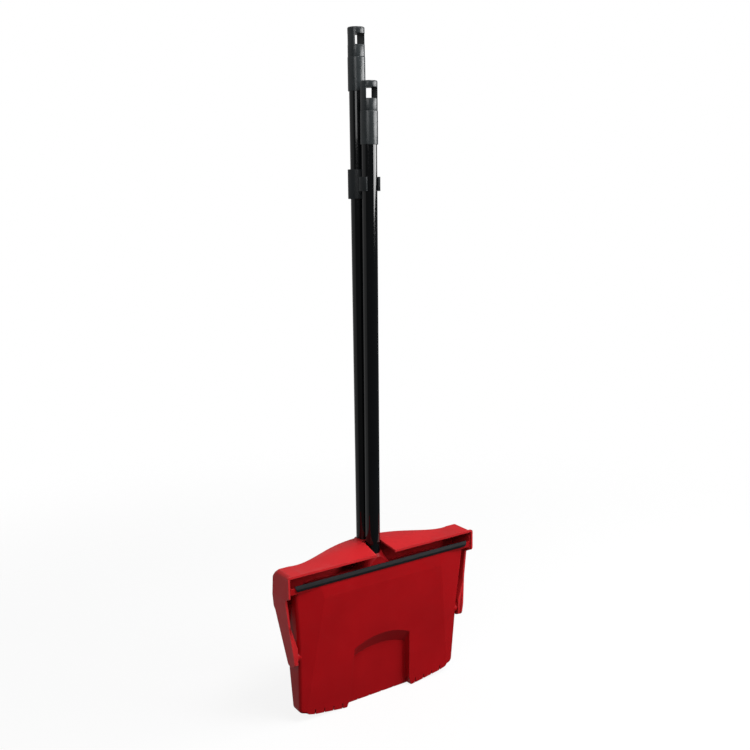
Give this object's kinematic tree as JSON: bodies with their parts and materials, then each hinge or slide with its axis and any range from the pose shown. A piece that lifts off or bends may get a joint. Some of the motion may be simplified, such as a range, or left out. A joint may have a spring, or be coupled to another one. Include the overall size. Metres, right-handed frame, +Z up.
{
  "type": "lobby dustpan and brush set",
  "caption": "Long-handled lobby dustpan with a hinged scoop under a fixed hood, and a long-handled brush clipped to its handle and stored in the hood.",
  "frame": {"origin": "on the ground under the middle of the closed set, standing on the scoop's heel", "axes": "+Z up along the handles, +X to the set's right seen from the front, -Y to the front, where the scoop's floor and the brush are"},
  "size_m": [0.3244, 0.0696, 0.9474],
  "materials": {
    "red_hood": "moulded polypropylene, satin gloss",
    "red_scoop": "moulded polypropylene, satin gloss, a shade deeper",
    "lip_rubber": "matt, smooth",
    "tube_coat": "gloss powder coat",
    "grip_plastic": "fine-grained, satin",
    "clip_plastic": "matt, moulded",
    "pin_steel": "turned, plain",
    "screw_steel": "zinc plated",
    "plug_plastic": "moulded, hidden",
    "brush_plastic": "moulded polypropylene, satin gloss",
    "bristle": "crimped filament"
  },
  "bodies": {
    "dustpan": {"pan_hood": "red_hood", "pivot_pin_right": "pin_steel", "pivot_pin_left": "pin_steel", "dustpan_tube": "tube_coat", "dustpan_tube_plug": "plug_plastic", "tube_screw": "screw_steel", "dustpan_grip_sleeve": "grip_plastic", "dustpan_grip_cap": "grip_plastic", "clip_collar": "clip_plastic", "clip_jaws": "clip_plastic", "clip_screw": "screw_steel"},
    "scoop": {"scoop": "red_scoop", "lip_strip": "lip_rubber"},
    "brush": {"brush_block": "brush_plastic", "bristle_row_1": "bristle", "bristle_row_2": "bristle", "bristle_row_3": "bristle", "bristle_row_4": "bristle", "brush_ferrule": "plug_plastic", "brush_tube": "tube_coat", "brush_grip_sleeve": "grip_plastic", "brush_grip_cap": "grip_plastic"}
  },
  "joints": [
    {"name": "scoop_swing", "type": "hinge", "parent": "dustpan", "child": "scoop", "pos_m": [0, -0.0152, 0.102], "axis": [1, 0, 0], "range_deg": [0, 80]},
    {"name": "brush_tilt", "type": "hinge", "parent": "dustpan", "child": "brush", "pos_m": [0, -0.0016, 0.15], "axis": [1, 0, 0], "range_deg": [0, 5], "deforming": ["clip_jaws"]}
  ]
}
